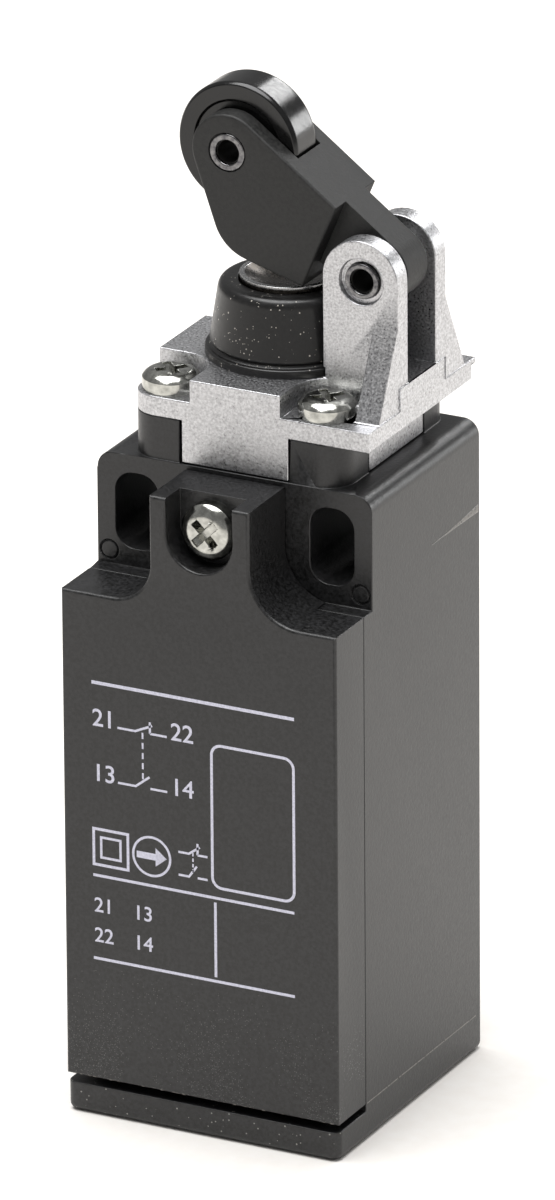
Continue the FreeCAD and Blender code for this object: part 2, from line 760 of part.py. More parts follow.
def hollow_rivet(centre, half_length, flare):
    """Tubular pin with a small rolled flare at each end."""
    tip = pin_tip
    points = [(pin_bore_radius, -half_length + tip), (pin_bore_radius + tip, -half_length),
              (pin_radius, -half_length), (pin_radius + flare, -half_length + tip),
              (pin_radius + flare, -half_length + pin_flare),
              (pin_radius, -half_length + pin_flare),
              (pin_radius, half_length - pin_flare),
              (pin_radius + flare, half_length - pin_flare),
              (pin_radius + flare, half_length - tip), (pin_radius, half_length),
              (pin_bore_radius + tip, half_length), (pin_bore_radius, half_length - tip)]
    return turned(points, centre, Y)


def lever_washers():
    """Two thin washers that keep the hub in the middle of the ears."""
    shapes = []
    for side in (-1, 1):
        start = pivot + Y * side * (hub_width / 2 + washer_gap)
        end = pivot + Y * side * (ear_gap / 2)
        shapes.append(tube(washer_radius, pin_radius + running_gap, start, end))
    return Part.makeCompound(shapes)


# ---------------------------------------------------------------- contact block
def screw_boss_places():
    """Where the two block screws run, along Y."""
    return [Vector(side * block_screw_offset, 0, block_bottom + block_screw_rise)
            for side in (-1, 1)]


def contact_base():
    """Insulating base: an open box round the carrier, with two screw bosses."""
    half = block_half_width
    block = box(-half, half, block_y0, block_y1, block_bottom, block_top)
    inner = box(-half + block_wall, half - block_wall, block_y0 - 1, block_y1 - block_wall,
                block_bottom + block_wall, block_top - block_wall)
    block = block.cut(inner)
    for spot in screw_boss_places():
        shaft = rod(base_boss_radius, Vector(spot.x, block_y0, spot.z),
                    Vector(spot.x, block_y1, spot.z))
        block = block.fuse(shaft.common(box(-half, half, block_y0, block_y1,
                                            block_bottom, block_top)))
    block = block.removeSplitter()
    for spot in screw_boss_places():
        block = block.cut(rod(block_screw_radius + thread_gap,
                              Vector(spot.x, block_y0 - 1, spot.z),
                              Vector(spot.x, block_y1 + 1, spot.z)))
    w = carrier_width / 2 + carrier_gap
    d = carrier_depth / 2 + carrier_gap
    return block.cut(box(-w, w, head_y - d, head_y + d, block_top - block_wall - 1,
                         block_top + 1))


def contact_lid():
    """Front plate of the contact block, with windows for the terminals."""
    half = block_half_width
    lid = box(-half, half, lid_y, block_y0, block_bottom, block_top)
    for side in (-1, 1):
        for z, up in ((nc_strip_z, 1), (no_strip_z, -1)):
            w = terminal_width / 2 + terminal_slot_gap
            x = side * contact_offset
            lid = lid.cut(box(x - w, x + w, lid_y - 1, block_y0 + 1, z - terminal_slot_gap,
                              z + terminal_thickness + terminal_slot_gap))
            hole = Vector(x, lid_y - 1, terminal_screw_z(z, up))
            lid = lid.cut(rod(screw_radius + through_gap, hole, hole + Y * (lid_thickness + 2)))
    for spot in screw_boss_places():
        lid = lid.cut(rod(block_screw_radius + thread_gap, Vector(spot.x, lid_y - 1, spot.z),
                          Vector(spot.x, block_y0 + 1, spot.z)))
    return lid


def carrier():
    """Push rod that carries both bridges, with a window for each bridge and its spring."""
    w = carrier_width / 2
    d = carrier_depth / 2
    rod_block = box(-w, w, head_y - d, head_y + d, carrier_bottom, plunger_bottom)
    slot = bridge_width / 2 + bridge_side_gap
    for low, high in carrier_windows():
        rod_block = rod_block.cut(box(-w - 1, w + 1, head_y - slot, head_y + slot, low, high))
    return rod_block


def carrier_windows():
    """Lower and upper end of the two windows."""
    nc_high = nc_bridge_height + bridge_thickness + bridge_side_gap
    return [(nc_high - nc_window_height, nc_high),
            (no_bridge_height, no_bridge_height + no_window_height)]


def bridge(z):
    """Flat contact bridge through the carrier."""
    strip = box(-bridge_half_length, bridge_half_length, head_y - bridge_width / 2,
                head_y + bridge_width / 2, z, z + bridge_thickness)
    return round_edges(strip, bridge_corner_radius, lambda e: runs_along(e, Z))


def contact_rivets(z0, z1):
    """A pair of round silver contacts."""
    return [rod(contact_radius, Vector(side * contact_offset, head_y, z0),
                Vector(side * contact_offset, head_y, z1)) for side in (-1, 1)]


nc_rivet_bottom = nc_bridge_height + bridge_thickness
nc_fixed_bottom = nc_rivet_bottom + contact_height + contact_gap
nc_strip_z = nc_fixed_bottom + contact_height
no_rivet_bottom = no_bridge_height - contact_height
no_fixed_top = no_rivet_bottom - plunger_travel - open_contact_spare
no_strip_z = no_fixed_top - contact_height - terminal_thickness


def terminal_screw_z(strip_z, up):
    """Height of the terminal screw in a tab that runs up (1) or down (-1)."""
    return strip_z + terminal_thickness / 2 + up * terminal_screw_rise


def terminals(strip_z, up):
    """Two bent strips: a fixed contact's seat inside, a screw tab in front."""
    shapes = []
    for side in (-1, 1):
        x = side * contact_offset
        strip = box(x - terminal_width / 2, x + terminal_width / 2,
                    lid_y - terminal_thickness, head_y + contact_radius + strip_end,
                    strip_z, strip_z + terminal_thickness)
        z0, z1 = ((strip_z, strip_z + terminal_tab_rise) if up > 0 else
                  (strip_z + terminal_thickness - terminal_tab_rise,
                   strip_z + terminal_thickness))
        tab = box(x - terminal_tab_width / 2, x + terminal_tab_width / 2,
                  lid_y - terminal_thickness, lid_y, z0, z1)
        hole = Vector(x, lid_y - 2, terminal_screw_z(strip_z, up))
        shapes.append(fuse(strip, tab).cut(rod(screw_hole_radius, hole, hole + Y * 4)))
    return Part.makeCompound(shapes)


def terminal_spots():
    """Front of each terminal tab, on its screw's axis."""
    return [Vector(side * contact_offset, lid_y - terminal_thickness, terminal_screw_z(z, up))
            for side in (-1, 1) for z, up in ((nc_strip_z, 1), (no_strip_z, -1))]


def clamp_plates():
    """Square pressure plates under the terminal screws."""
    shapes = []
    for spot in terminal_spots():
        half = clamp_size / 2
        square = box(spot.x - half, spot.x + half, spot.y - terminal_thickness, spot.y,
                     spot.z - half, spot.z + half)
        shapes.append(square.cut(rod(screw_hole_radius, spot - Y * 2, spot + Y)))
    return Part.makeCompound(shapes)


# ---------------------------------------------------------------- assembly
down_y = Vector(0, -1, 0)
parts["housing"] = housing()
parts["cover"] = cover()
parts["cover_gasket"] = gasket_ring(seat_gap)
parts["cover_screw"] = pan_screw(Vector(neck_shift, recess_floor, screw_z), down_y,
                                 cover_screw_length)
parts["head_body"] = head_body()
parts["head_gasket"] = gasket_groove()
parts["head_screws"] = Part.makeCompound(
    [pan_screw(Vector(x, y, plate_top), Z, head_screw_length) for x, y in head_screw_places])
parts["plunger"] = plunger()
parts["plunger_bush"] = bush()
parts["plunger_clip"] = plunger_clip()
parts["plunger_boot"] = boot()
parts["plunger_spring"] = coil(spring_coil_radius, spring_wire_radius, bush_top, cap_bottom,
                               plunger_spring_turns, 0, head_y)
parts["lever"] = lever()
parts["roller"] = roller()
parts["roller_pin"] = hollow_rivet(roller_axis, fork_width / 2, roller_pin_lip)
parts["lever_pin"] = hollow_rivet(pivot, ear_gap / 2 + ear_thickness - pin_recess, 0.0)
parts["lever_washers"] = lever_washers()
parts["contact_base"] = contact_base()
parts["contact_lid"] = contact_lid()
parts["contact_carrier"] = carrier()
parts["nc_bridge"] = bridge(nc_bridge_height)
parts["no_bridge"] = bridge(no_bridge_height)
parts["moving_contacts"] = Part.makeCompound(
    contact_rivets(nc_rivet_bottom, nc_rivet_bottom + contact_height)
    + contact_rivets(no_rivet_bottom, no_bridge_height))
parts["fixed_contacts"] = Part.makeCompound(
    contact_rivets(nc_fixed_bottom, nc_strip_z)
    + contact_rivets(no_fixed_top - contact_height, no_fixed_top))
windows = carrier_windows()
parts["nc_contact_spring"] = coil(contact_spring_radius, contact_spring_wire, windows[0][0],
                                  nc_bridge_height, nc_spring_turns, 0, head_y)
parts["no_contact_spring"] = coil(contact_spring_radius, contact_spring_wire,
                                  no_bridge_height + bridge_thickness, windows[1][1],
                                  no_spring_turns, 0, head_y)
parts["return_spring"] = coil(return_spring_radius, return_spring_wire,
                              block_bottom + block_wall, carrier_bottom,
                              return_spring_turns, 0, head_y)
parts["nc_terminals"] = terminals(nc_strip_z, 1)
parts["no_terminals"] = terminals(no_strip_z, -1)
parts["clamp_plates"] = clamp_plates()
parts["terminal_screws"] = Part.makeCompound(
    [pan_screw(spot - Y * terminal_thickness, down_y, terminal_screw_length)
     for spot in terminal_spots()])
parts["block_screws"] = Part.makeCompound(
    [pan_screw(Vector(spot.x, lid_y, spot.z), down_y, block_screw_length, block_screw_radius)
     for spot in screw_boss_places()])

os.makedirs("parts", exist_ok=True)
for name, shape in parts.items():
    shape.exportStep("parts/" + name + ".step")
    box_of = shape.BoundBox
    print(f"{name:18s} solids {len(shape.Solids)} valid {shape.isValid()} "
          f"volume {shape.Volume:9.2f}  x {box_of.XMin:7.2f} {box_of.XMax:7.2f}  "
          f"y {box_of.YMin:7.2f} {box_of.YMax:7.2f}  z {box_of.ZMin:7.2f} {box_of.ZMax:7.2f}")
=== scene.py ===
# %% [markdown]
# # A limit switch with a roller lever
# The switch is a black plastic box with a zinc head. A lever with a plastic roller sits
# in the head and presses a steel plunger. The exact shapes come from a CAD model, and
# this lesson adds what CAD leaves out: soft edges, rubber, ink, grain, light and a camera.

# %% Load the CAD model
import math

import bmesh
import bpy
import numpy as np
from mathutils import Matrix, Vector


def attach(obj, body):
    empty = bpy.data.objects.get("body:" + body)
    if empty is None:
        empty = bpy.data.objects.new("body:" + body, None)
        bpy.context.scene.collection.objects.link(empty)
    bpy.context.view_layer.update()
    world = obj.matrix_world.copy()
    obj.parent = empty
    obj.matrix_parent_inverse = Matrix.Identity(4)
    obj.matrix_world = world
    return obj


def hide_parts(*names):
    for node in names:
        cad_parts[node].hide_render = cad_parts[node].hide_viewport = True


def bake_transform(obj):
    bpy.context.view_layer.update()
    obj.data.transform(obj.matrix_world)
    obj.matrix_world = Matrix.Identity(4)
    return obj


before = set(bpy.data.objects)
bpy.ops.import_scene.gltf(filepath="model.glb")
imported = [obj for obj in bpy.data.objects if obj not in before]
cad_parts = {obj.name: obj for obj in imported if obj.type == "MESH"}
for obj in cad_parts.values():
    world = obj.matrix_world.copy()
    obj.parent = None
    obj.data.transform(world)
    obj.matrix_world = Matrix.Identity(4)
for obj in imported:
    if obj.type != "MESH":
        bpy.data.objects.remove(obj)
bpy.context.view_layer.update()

MM = 0.001

# %% [markdown]
# ## Three small helpers
# Colours are easiest to pick as sRGB hex codes, but light adds up in linear values, so
# one function converts them. A second one adds a shader node together with its settings
# and links, which keeps every material short. A third paints a piece.

# %% Helpers for colour and nodes
def srgb(code):
    """Linear colour of a hex code: each channel goes through the sRGB curve."""
    channel = np.array([int(code[i:i + 2], 16) for i in (1, 3, 5)]) / 255
    curve = ((channel + 0.055) / 1.055) ** 2.4
    return (*np.where(channel <= 0.04045, channel / 12.92, curve).tolist(), 1.0)


def add(tree, kind, inputs, **settings):
    """Adds one node. inputs maps a socket to a value, or to the output that feeds it."""
    made = tree.nodes.new(kind)
    for name, value in settings.items():
        setattr(made, name, value)
    for socket, value in inputs.items():
        if isinstance(value, bpy.types.NodeSocket):
            tree.links.new(value, made.inputs[socket])
        else:
            made.inputs[socket].default_value = value
    return made


def paint(piece, finish):
    """Gives a piece one finish in place of what it had."""
    piece.data.materials.clear()
    piece.data.materials.append(finish)


print("mid grey #808080 is", round(srgb("#808080")[0], 3), "in linear light")

# %% [markdown]
# ## One recipe for every finish
# Real surfaces are never one flat colour. Moulded plastic shows its fibres, castings show
# the grain of the die, and turned steel shows fine scratches. All of these are a noise
# whose grains have a real width, so one recipe serves them: the noise moves the colour
# between two hexes, the roughness between two values, and the surface up and down.
# `stretch` above 1 draws the grains out along one axis, as a tool or a roll does.

# %% The finish recipe
NOISE_DETAIL, NOISE_ROUGHNESS = 3.0, 0.6
GRAIN_LOW, GRAIN_HIGH = 0.3, 0.7


def finish(name, dark, light, grain, rough, relief=0.0, stretch=(1, 1, 1), contrast=0.2,
           dust=None, **shader):
    """A finish with grains of a given width in mm. relief is their height in mm."""
    made = bpy.data.materials.new(name)
    made.use_nodes = True
    tree = made.node_tree
    tree.nodes.clear()
    place = add(tree, "ShaderNodeTexCoord", {}).outputs["Object"]
    drawn = add(tree, "ShaderNodeMapping", {"Vector": place, "Scale": stretch})
    grains = add(tree, "ShaderNodeTexNoise", {"Vector": drawn.outputs["Vector"],
                 "Scale": 1 / (grain * MM), "Detail": NOISE_DETAIL,
                 "Roughness": NOISE_ROUGHNESS}).outputs["Fac"]
    ramp = add(tree, "ShaderNodeValToRGB", {"Fac": grains})
    ends = ramp.color_ramp.elements
    ends[0].position, ends[1].position = 0.5 - contrast, 0.5 + contrast
    ends[0].color, ends[1].color = srgb(dark), srgb(light)
    colour = ramp.outputs["Color"]
    if dust:
        colour = dusted(tree, place, colour, **dust)
    gloss = add(tree, "ShaderNodeMapRange", {"Value": grains, "From Min": GRAIN_LOW,
                "From Max": GRAIN_HIGH, "To Min": rough[0],
                "To Max": rough[1]}).outputs["Result"]
    skin = {"Base Color": colour, "Roughness": gloss, **shader}
    if relief:
        skin["Normal"] = add(tree, "ShaderNodeBump", {"Height": grains, "Strength": 1.0,
                             "Distance": relief * MM}).outputs["Normal"]
    shell = add(tree, "ShaderNodeBsdfPrincipled", skin)
    add(tree, "ShaderNodeOutputMaterial", {"Surface": shell.outputs["BSDF"]})
    return made


LARGEST_SPECK = 0.42
PATCH_EDGE = (0.38, 0.62)


def dusted(tree, place, colour, width, share, low, high, patch=6.0, shade="#8B8A86"):
    """Scatters pale specks: each cell of a Voronoi pattern draws a number, and a speck
    lies in the cells that draw less than the share, which fades from low to high and
    thins out between patches of a given width. A second draw sets the speck's radius, up
    to LARGEST_SPECK cells."""
    cells = add(tree, "ShaderNodeTexVoronoi", {"Vector": place, "Scale": 1 / (width * MM)})
    draw = add(tree, "ShaderNodeSeparateColor", {"Color": cells.outputs["Color"]})
    height = add(tree, "ShaderNodeSeparateXYZ", {"Vector": place}).outputs["Z"]
    fading = add(tree, "ShaderNodeMapRange", {"Value": height, "From Min": low * MM,
                 "From Max": high * MM, "To Min": share, "To Max": 0.0})
    cloud = add(tree, "ShaderNodeTexNoise", {"Vector": place, "Scale": 1 / (patch * MM)})
    thick = add(tree, "ShaderNodeMapRange", {"Value": cloud.outputs["Fac"],
                "From Min": PATCH_EDGE[0], "From Max": PATCH_EDGE[1]})
    chance = add(tree, "ShaderNodeMath", {0: fading.outputs["Result"],
                 1: thick.outputs["Result"]}, operation="MULTIPLY")
    lucky = add(tree, "ShaderNodeMath", {0: draw.outputs["Red"], 1: chance.outputs[0]},
                operation="LESS_THAN")
    size = add(tree, "ShaderNodeMath", {0: draw.outputs["Green"], 1: LARGEST_SPECK},
               operation="MULTIPLY")
    inside = add(tree, "ShaderNodeMath", {0: cells.outputs["Distance"], 1: size.outputs[0]},
                 operation="LESS_THAN")
    speck = add(tree, "ShaderNodeMath", {0: lucky.outputs[0], 1: inside.outputs[0]},
                operation="MULTIPLY")
    return add(tree, "ShaderNodeMixRGB", {"Fac": speck.outputs[0], "Color1": colour,
               "Color2": srgb(shade)}).outputs["Color"]


# %% [markdown]
# ## The plastics
# The box is glass-filled nylon 66. Its mould is spark-eroded, which leaves a fine, even
# grain, and the glass makes the black a little grey. The lever is plain nylon, darker and
# duller. The roller is acetal, the glossiest plastic here, because it was turned.

# %% Plastic finishes
ERODED = {"dark": "#0E0E0E", "light": "#262627", "grain": 0.34, "rough": (0.3, 0.46),
          "relief": 0.022, "contrast": 0.14, "IOR": 1.5}
body_nylon = finish(
    "glass-filled nylon, eroded mould", **ERODED,
    dust={"width": 0.22, "share": 0.14, "low": 0.0, "high": 12.0, "patch": 5.0})
cover_nylon = finish(
    "glass-filled nylon, dusty", **ERODED,
    dust={"width": 0.2, "share": 1.5, "low": 2.0, "high": 17.0, "patch": 5.0,
          "shade": "#5E5E5D"})
lever_nylon = finish(
    "black nylon, satin mould", "#0E0E0E", "#232322", grain=0.34,
    rough=(0.5, 0.66), relief=0.03, contrast=0.14, IOR=1.5)
roller_acetal = finish(
    "black acetal, turned", "#0B0B0B", "#131313", grain=0.5, rough=(0.16, 0.24), IOR=1.48)
block_resin = finish(
    "light grey contact resin", "#9A978F", "#B4B1A9", grain=0.5, rough=(0.4, 0.5), IOR=1.6)
carrier_resin = finish(
    "brick red carrier resin", "#7A2A1D", "#8E3626", grain=0.5, rough=(0.38, 0.46), IOR=1.5)
print("plastics:", body_nylon.name, "|", lever_nylon.name, "|", roller_acetal.name)

# %% [markdown]
# ## The rubbers
# The boot is moulded nitrile rubber: deep black, half glossy, and it gathers pale dust.
# The gaskets are the same rubber with a duller skin.

# %% Rubber finishes
boot_rubber = finish(
    "nitrile rubber, half gloss", "#0D0D0D", "#161515", grain=0.4, rough=(0.28, 0.4),
    relief=0.004, IOR=1.52,
    dust={"width": 0.22, "share": 0.42, "low": 76.0, "high": 92.0, "patch": 3.0,
          "shade": "#AFAAA2"})
seal_rubber = finish(
    "nitrile rubber, dull", "#141414", "#1C1C1C", grain=0.5, rough=(0.55, 0.7), IOR=1.52)
print("rubbers:", boot_rubber.name, "|", seal_rubber.name)

# %% [markdown]
# ## The metals
# The head is a bare zinc die casting: bright, with a crystalline grain that glitters. The
# screws are zinc-plated steel and the rivets are steel tube, its colour darkened as a
# painted shade for the shade in and round the rivets. The plunger is hardened steel inside
# a bright turned rim, its colour darkened all over as a painted shade for its shaded dish.
# Inside are spring wire, brass, silver and a sintered bronze bush. A metal has no colour
# under its reflection, so the hexes are the colours of the reflections themselves.

# %% Metal finishes
zinc = finish(
    "zinc alloy, die cast", "#8A8A8C", "#E0E0E2", grain=0.24, rough=(0.24, 0.5),
    relief=0.035, contrast=0.24, Metallic=1.0)
plated = finish(
    "zinc-plated steel", "#94948F", "#C6C6C0", grain=0.8, rough=(0.12, 0.24), Metallic=1.0)
turned_steel = finish(
    "turned steel, bright", "#A3A3A3", "#CFCFCF", grain=0.2, rough=(0.18, 0.3),
    stretch=(1, 1, 6), Metallic=1.0)
# Painted shade: this steel is darkened to stand for the shade in the plunger's dish.
painted_shade_steel = finish(
    "hardened steel, darkened as painted shade", "#2F2C2A", "#5C5751", grain=0.5, rough=(0.22, 0.34),
    Metallic=1.0)
# Painted shade: the rivet steel is darker than bright steel, standing for the shade in and
# round the rivets.
painted_shade_rivet_steel = finish(
    "rivet tube steel, darkened as painted shade", "#4A494D", "#8B8A8A", grain=0.5, rough=(0.16, 0.3), Metallic=1.0)
spring_wire = finish(
    "hard-drawn spring wire", "#8A8A8A", "#B0B0B0", grain=0.2, rough=(0.25, 0.35),
    Metallic=1.0)
bronze = finish(
    "sintered bronze", "#8A6238", "#B48A55", grain=0.15, rough=(0.4, 0.55), Metallic=1.0)
brass = finish(
    "rolled brass strip", "#B9954C", "#D9B869", grain=0.3, rough=(0.2, 0.32),
    stretch=(1, 6, 1), Metallic=1.0)
silver = finish(
    "fine silver", "#D5D4D0", "#EFEEEA", grain=0.3, rough=(0.15, 0.25), Metallic=1.0)
print("metals:", len([m for m in bpy.data.materials if "alloy" in m.name or "steel" in m.name]),
      "of them zinc or steel")

# %% [markdown]
# ## Ink
# The front carries pad-printed marks. Pad ink is thin and matt and never quite solid, and
# a cool white looks faintly lilac on black.

# %% Ink finish
ink = finish("pad-print ink, cool white", "#B9B9CB", "#DCDCEA", grain=0.25,
             rough=(0.5, 0.65), contrast=0.22, IOR=1.5)
print("ink:", ink.name)

# %% [markdown]
# ## Soft edges on the CAD parts
# CAD edges are perfectly sharp, and real ones never are: a thin rounding on every edge
# catches the light and makes the size believable. The CAD meshes stay as they are, so
# each visible part gets a copy whose triangles are welded, whose flat faces are joined,
# and whose sharp edges carry a Bevel modifier. Lengths are in mm and angles in degrees.

# %% A copy with soft edges
SAME_POINT, SAME_PLANE = 0.0002, 0.4
SHARP, NARROW, SHORT = 30, 10, 0.1
SIDE_SHARE = 0.25
BEVEL_SEGMENTS = 3
FRONT_PLANE = -16.45


def softened(node, body, slot, skin, width, front=None):
    """Welds a copy of a CAD node, joins its flat triangles and bevels its sharp edges.
    Two edges that leave a corner almost together stay sharp, and so do very short ones: a
    rounding would run away there. With a front, a plane of Y in mm, edges behind it get
    only a share of the width."""
    welded = bmesh.new()
    welded.from_mesh(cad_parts[node].data)
    bmesh.ops.remove_doubles(welded, verts=welded.verts, dist=SAME_POINT * MM)
    bmesh.ops.dissolve_limit(welded, angle_limit=math.radians(SAME_PLANE),
                             verts=welded.verts, edges=welded.edges)
    for face in welded.faces:
        face.smooth = True
    weight = welded.edges.layers.float.new("bevel_weight_edge")
    for edge in welded.edges:
        edge.smooth = edge.calc_face_angle(0.0) < math.radians(SHARP)
        edge[weight] = 0.0 if edge.smooth or edge.calc_length() < SHORT * MM else 1.0
        if front is not None and max(v.co.y for v in edge.verts) > front * MM:
            edge[weight] *= SIDE_SHARE
    for face in welded.faces:
        for loop in face.loops:
            if loop.calc_angle() < math.radians(NARROW):
                loop.edge[weight] = loop.link_loop_prev.edge[weight] = 0.0
    data = bpy.data.meshes.new(node + "_soft")
    welded.to_mesh(data)
    welded.free()
    return settled(data, body, skin, [node], width)


def settled(data, body, skin, stands_for=(), width=0.0):
    """Makes a mesh a piece: in the scene, painted, on its body, for its CAD nodes."""
    piece = bpy.data.objects.new(data.name, data)
    bpy.context.scene.collection.objects.link(piece)
    paint(piece, skin)
    if width:
        edges = piece.modifiers.new("soft edges", "BEVEL")
        edges.width, edges.segments = width * MM, BEVEL_SEGMENTS
        edges.limit_method = "WEIGHT"
        edges.harden_normals = True
        edges.use_clamp_overlap = False
    if body:
        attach(piece, body)
    if stands_for:
        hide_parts(*stands_for)
    return piece


SOFT_PARTS = {
    "housing": ("switch_body", "glass_filled_nylon", body_nylon, 0.12),
    "cover": ("cover", "glass_filled_nylon", cover_nylon, 0.24, FRONT_PLANE),
    "head_body": ("switch_body", "zinc_casting", zinc, 0.13),
    "lever": ("lever", "lever_nylon", lever_nylon, 0.06),
    "cover_screw": ("cover", "plated_steel", plated, 0.06),
    "head_screws": ("switch_body", "plated_steel", plated, 0.06),
    "terminal_screws": ("switch_body", "plated_steel", plated, 0.06),
    "block_screws": ("switch_body", "plated_steel", plated, 0.06),
}
for node, settings in SOFT_PARTS.items():
    piece = softened(node, *settings)
    print(piece.name, "has", len(piece.data.polygons), "faces before its bevel")

# %% [markdown]
# ## Turned pieces
# The boot, the roller, the rivets and the plunger are all round. Such a shape is a
# profile, a line of (radius, height) points, swung round an axis. Each corner of the
# profile first gets a small parabola in place of its point, so no edge is sharp.

# %% Profiles and turning
def eased(corners, steps=7):
    """Rounds a closed profile. A row is (radius, height, cut): a parabola leaves one side
    a cut before the corner and meets the other a cut after it, as
    (1-t)(1-t) start + 2t(1-t) corner + tt end."""
    rows = np.array(corners, float)
    corner, cut = rows[:, :2], rows[:, 2:]
    back = np.roll(corner, 1, axis=0) - corner
    on = np.roll(corner, -1, axis=0) - corner
    start = corner + back / np.linalg.norm(back, axis=1, keepdims=True) * cut
    end = corner + on / np.linalg.norm(on, axis=1, keepdims=True) * cut
    t = np.linspace(0, 1, steps)[None, :, None]
    curve = (1 - t) ** 2 * start[:, None] + 2 * t * (1 - t) * corner[:, None] \
        + t ** 2 * end[:, None]
    return curve.reshape(-1, 2)


def filled(profile, pitch):
    """Adds points along the long runs of a closed profile, no further apart than pitch:
    both coordinates are read off at even lengths along the line."""
    line = np.vstack([profile, profile[:1]])
    run = np.concatenate([[0], np.cumsum(np.linalg.norm(np.diff(line, axis=0), axis=1))])
    at = np.union1d(run, np.arange(0, run[-1], pitch))
    return np.stack([np.interp(at, run, line[:, 0]), np.interp(at, run, line[:, 1])], 1)[:-1]


WELD, NO_AREA = 1e-8, 1e-16
CREASE = 35


def skinned(name, grids):
    """One mesh from several grids of points in mm, each shaped (rows, columns, 3): quads
    between neighbours, closed both ways round. Points that meet are welded, which also
    closes poles. A grid whose enclosed volume, the sum of a . (b x c) over its triangles,
    comes out negative faces inwards, so its quads are turned round."""
    shell = bmesh.new()
    for grid in grids:
        rows, columns = grid.shape[:2]
        index = np.arange(rows * columns).reshape(rows, columns)
        down, across = np.roll(index, -1, axis=0), np.roll(index, -1, axis=1)
        both = np.roll(down, -1, axis=1)
        quads = np.stack([index, down, both, across], -1).reshape(-1, 4)
        a, b, c, d = grid.reshape(-1, 3)[quads.T]
        if (a * (np.cross(b, c) + np.cross(c, d))).sum() < 0:
            quads = quads[:, ::-1]
        part = bpy.data.meshes.new(name)
        part.from_pydata((grid.reshape(-1, 3) * MM).tolist(), [], quads.tolist())
        shell.from_mesh(part)
        bpy.data.meshes.remove(part)
    bmesh.ops.remove_doubles(shell, verts=shell.verts, dist=WELD)
    folded = [face for face in shell.faces if face.calc_area() < NO_AREA]
    bmesh.ops.delete(shell, geom=folded, context="FACES")
    wires = [edge for edge in shell.edges if not edge.link_faces]
    bmesh.ops.delete(shell, geom=wires, context="EDGES")
    for face in shell.faces:
        face.smooth = True
    for edge in shell.edges:
        edge.smooth = edge.calc_face_angle(0.0) < math.radians(CREASE)
    data = bpy.data.meshes.new(name)
    shell.to_mesh(data)
    shell.free()
    return data


def swung(profile, centre, along="Z", steps=128):
    """The grid of a turned piece: x = r cos a, y = r sin a, z = height, for every profile
    point and every angle at once, then moved to its centre. Along Y, z becomes y."""
    radius, height = np.asarray(profile, float).T[:, :, None]
    angle = np.linspace(0, 2 * np.pi, steps, endpoint=False)[None, :]
    x, y, z = np.broadcast_arrays(radius * np.cos(angle), radius * np.sin(angle), height)
    grid = np.stack([x, z, -y] if along == "Y" else [x, y, z], -1)
    return grid + np.array(centre)


def capped(grid):
    """Closes both ends of a grid: a row before it and a row after it shrink to the middle
    of the end they stand at."""
    middles = grid.mean(axis=1, keepdims=True) + 0 * grid
    return np.concatenate([middles[:1], grid, middles[-1:]])


PLUNGER_Y = 4.05
HEAD_AXIS = (0, PLUNGER_Y, 0)
PIVOT = (10.9, PLUNGER_Y, 89.4)
ROLLER_AXIS = (-4.508, PLUNGER_Y, 100.431)
print("the roller's axis stands", round(math.dist(PIVOT, ROLLER_AXIS), 2), "mm off the pivot")

# %% [markdown]
# ## The boot
# The rubber boot seals the plunger. It has a collar on the casting, a fine groove, a
# slightly tapered skirt and a fat rounded rim that grips the plunger's cap. On the switch its
# lower end stays and its upper end goes down with the plunger; here it is one fixed mesh,
# with rows of points along its skirt.

# %% Make the boot
boot_profile = eased([
    (5.55, 78.5, 0), (8.5, 78.5, 0.05), (8.5, 79.4, 0.3), (8.02, 79.4, 0.06),
    (7.72, 79.62, 0.12), (8.0, 80.0, 0.16), (7.0, 86.4, 0.95), (4.95, 86.4, 0.35),
    (4.95, 85.2, 0.1), (5.8, 85.2, 0.2), (6.75, 80.1, 0.2), (5.55, 80.1, 0.05)])
boot = settled(skinned("rubber_boot", [swung(filled(boot_profile, 0.4), HEAD_AXIS)]),
               None, boot_rubber, ["plunger_boot"])
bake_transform(boot)
print("boot:", len(boot.data.vertices), "points")

# %% [markdown]
# ## The roller and its rivet
# The roller is a turned disc: a tread with chamfered rims, and faces with a shallow step.
# It spins on a tube riveted into the fork, whose ends are rolled outwards a little.

# %% Make the roller and the rivets
roller_profile = eased([
    (1.925, -2.05, 0.05), (4.7, -2.05, 0.12), (4.85, -2.35, 0.1), (6.45, -2.35, 0.12),
    (6.7, -1.95, 0.15), (6.7, 1.95, 0.15), (6.45, 2.35, 0.12), (4.85, 2.35, 0.1),
    (4.7, 2.05, 0.12), (1.925, 2.05, 0.05)])
settled(skinned("acetal_roller", [swung(filled(roller_profile, 0.5), ROLLER_AXIS, "Y", 192)]),
        "roller", roller_acetal, ["roller"])


RIVET_BORE, RIVET_RADIUS, ROLLED = 1.3, 1.875, 0.26


def rivet_profile(half, lip):
    """A tube's wall, closed: bore, rolled end, outside, rolled end. lip is how far the
    rolled ends stand out."""
    outer, neck = RIVET_RADIUS + lip, half - ROLLED
    return eased([(RIVET_BORE, -half, 0.2), (outer, -half, 0.2), (outer, -neck, 0.08),
                  (RIVET_RADIUS, -neck, 0.02), (RIVET_RADIUS, neck, 0.02),
                  (outer, neck, 0.08), (outer, half, 0.2), (RIVET_BORE, half, 0.2)])


# Both rivets take the darkened steel, a painted shade for their shaded recesses.
settled(skinned("roller_rivet", [swung(rivet_profile(4.57, 0.1), ROLLER_AXIS, "Y", 96)]),
        "lever", painted_shade_rivet_steel, ["roller_pin"])
settled(skinned("pivot_rivet", [swung(rivet_profile(5.35, 0.001), PIVOT, "Y", 96)]),
        "switch_body", painted_shade_rivet_steel, ["lever_pin"])
# Painted shadow: a near-black sleeve in each rivet bore stands for the shade deep in the hole.
oiled = finish("oiled steel in shadow", "#050505", "#0D0C0B", grain=0.5, rough=(0.45, 0.6),
               IOR=1.4)


